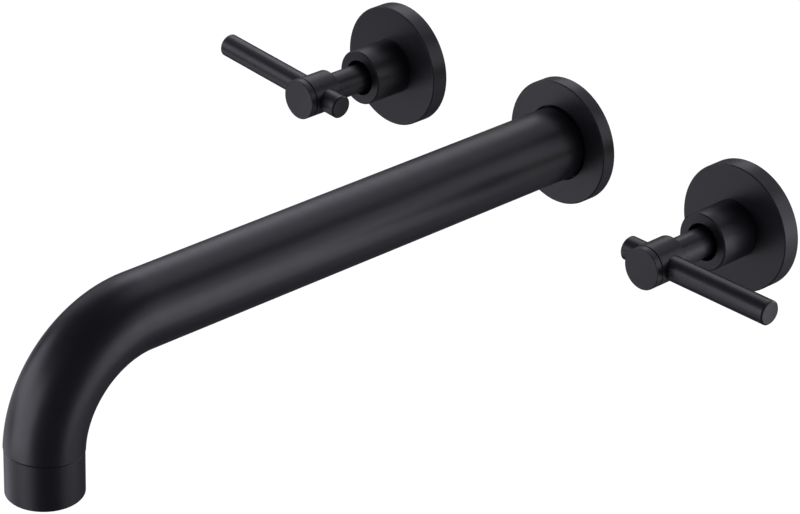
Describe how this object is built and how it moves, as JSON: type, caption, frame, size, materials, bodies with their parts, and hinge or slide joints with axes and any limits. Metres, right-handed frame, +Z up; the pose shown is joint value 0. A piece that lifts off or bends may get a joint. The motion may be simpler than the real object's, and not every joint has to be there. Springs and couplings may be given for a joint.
{
  "type": "wall mounted bath faucet",
  "caption": "Wall mounted bath faucet with quarter-turn lever handles, a long straight spout bent down at its end, round wall plates, and the valve set behind the wall.",
  "frame": {"origin": "on the finished wall plane, at the axis of the spout", "axes": "+Z up, -Y out of the wall into the room, +X to the right as seen from the room; the hot handle is at -X"},
  "size_m": [0.3203, 0.388, 0.0904],
  "materials": {
    "matte_black": "matte black powder finish on brass, fine satin sheen",
    "brass": "machined and cast yellow brass",
    "copper": "drawn copper tube, slightly dulled",
    "steel": "stainless steel, machined",
    "black_rubber": "moulded black rubber",
    "foam": "closed-cell foam gasket, charcoal",
    "ceramic": "lapped white alumina ceramic",
    "aerator_plastic": "pale moulded acetal"
  },
  "bodies": {
    "body": {"spout_tube": "matte_black", "outlet_ring": "matte_black", "aerator_washer": "black_rubber", "aerator_housing": "matte_black", "aerator_mixer": "aerator_plastic", "aerator_screen": "aerator_plastic", "spout_plate": "matte_black", "spout_plate_gasket": "black_rubber", "spout_bushing": "brass", "spout_set_screw": "steel", "spout_nipple": "brass", "nipple_o_rings": "black_rubber", "centre_tee": "brass", "hot_cross_tube": "copper", "cold_cross_tube": "copper", "hot_wall_plate": "matte_black", "hot_plate_gasket": "foam", "hot_collar": "matte_black", "hot_extension_sleeve": "brass", "hot_valve_body": "brass", "hot_bonnet_nut": "brass", "hot_cartridge_body": "brass", "hot_seat_seal": "black_rubber", "hot_fixed_disc": "ceramic", "hot_body_o_ring": "black_rubber", "cold_wall_plate": "matte_black", "cold_plate_gasket": "foam", "cold_collar": "matte_black", "cold_extension_sleeve": "brass", "cold_valve_body": "brass", "cold_bonnet_nut": "brass", "cold_cartridge_body": "brass", "cold_seat_seal": "black_rubber", "cold_fixed_disc": "ceramic", "cold_body_o_ring": "black_rubber"},
    "hot_handle": {"hot_turning_disc": "ceramic", "hot_spindle": "brass", "hot_stem_o_rings": "black_rubber", "hot_stop_washer": "steel", "hot_retaining_clip": "steel", "hot_stem_adapter": "brass", "hot_adapter_screw": "steel", "hot_handle_hub": "matte_black", "hot_set_screw": "steel", "hot_lever": "matte_black", "hot_hub_cap": "matte_black"},
    "cold_handle": {"cold_turning_disc": "ceramic", "cold_spindle": "brass", "cold_stem_o_rings": "black_rubber", "cold_stop_washer": "steel", "cold_retaining_clip": "steel", "cold_stem_adapter": "brass", "cold_adapter_screw": "steel", "cold_handle_hub": "matte_black", "cold_set_screw": "steel", "cold_lever": "matte_black", "cold_hub_cap": "matte_black"}
  },
  "joints": [
    {"name": "hot_turn", "type": "hinge", "parent": "body", "child": "hot_handle", "pos_m": [-0.1016, -0.0531, 0], "axis": [0, -1, 0], "range_deg": [0, 90]},
    {"name": "cold_turn", "type": "hinge", "parent": "body", "child": "cold_handle", "pos_m": [0.1016, -0.0531, 0], "axis": [0, 1, 0], "range_deg": [0, 90]}
  ]
}
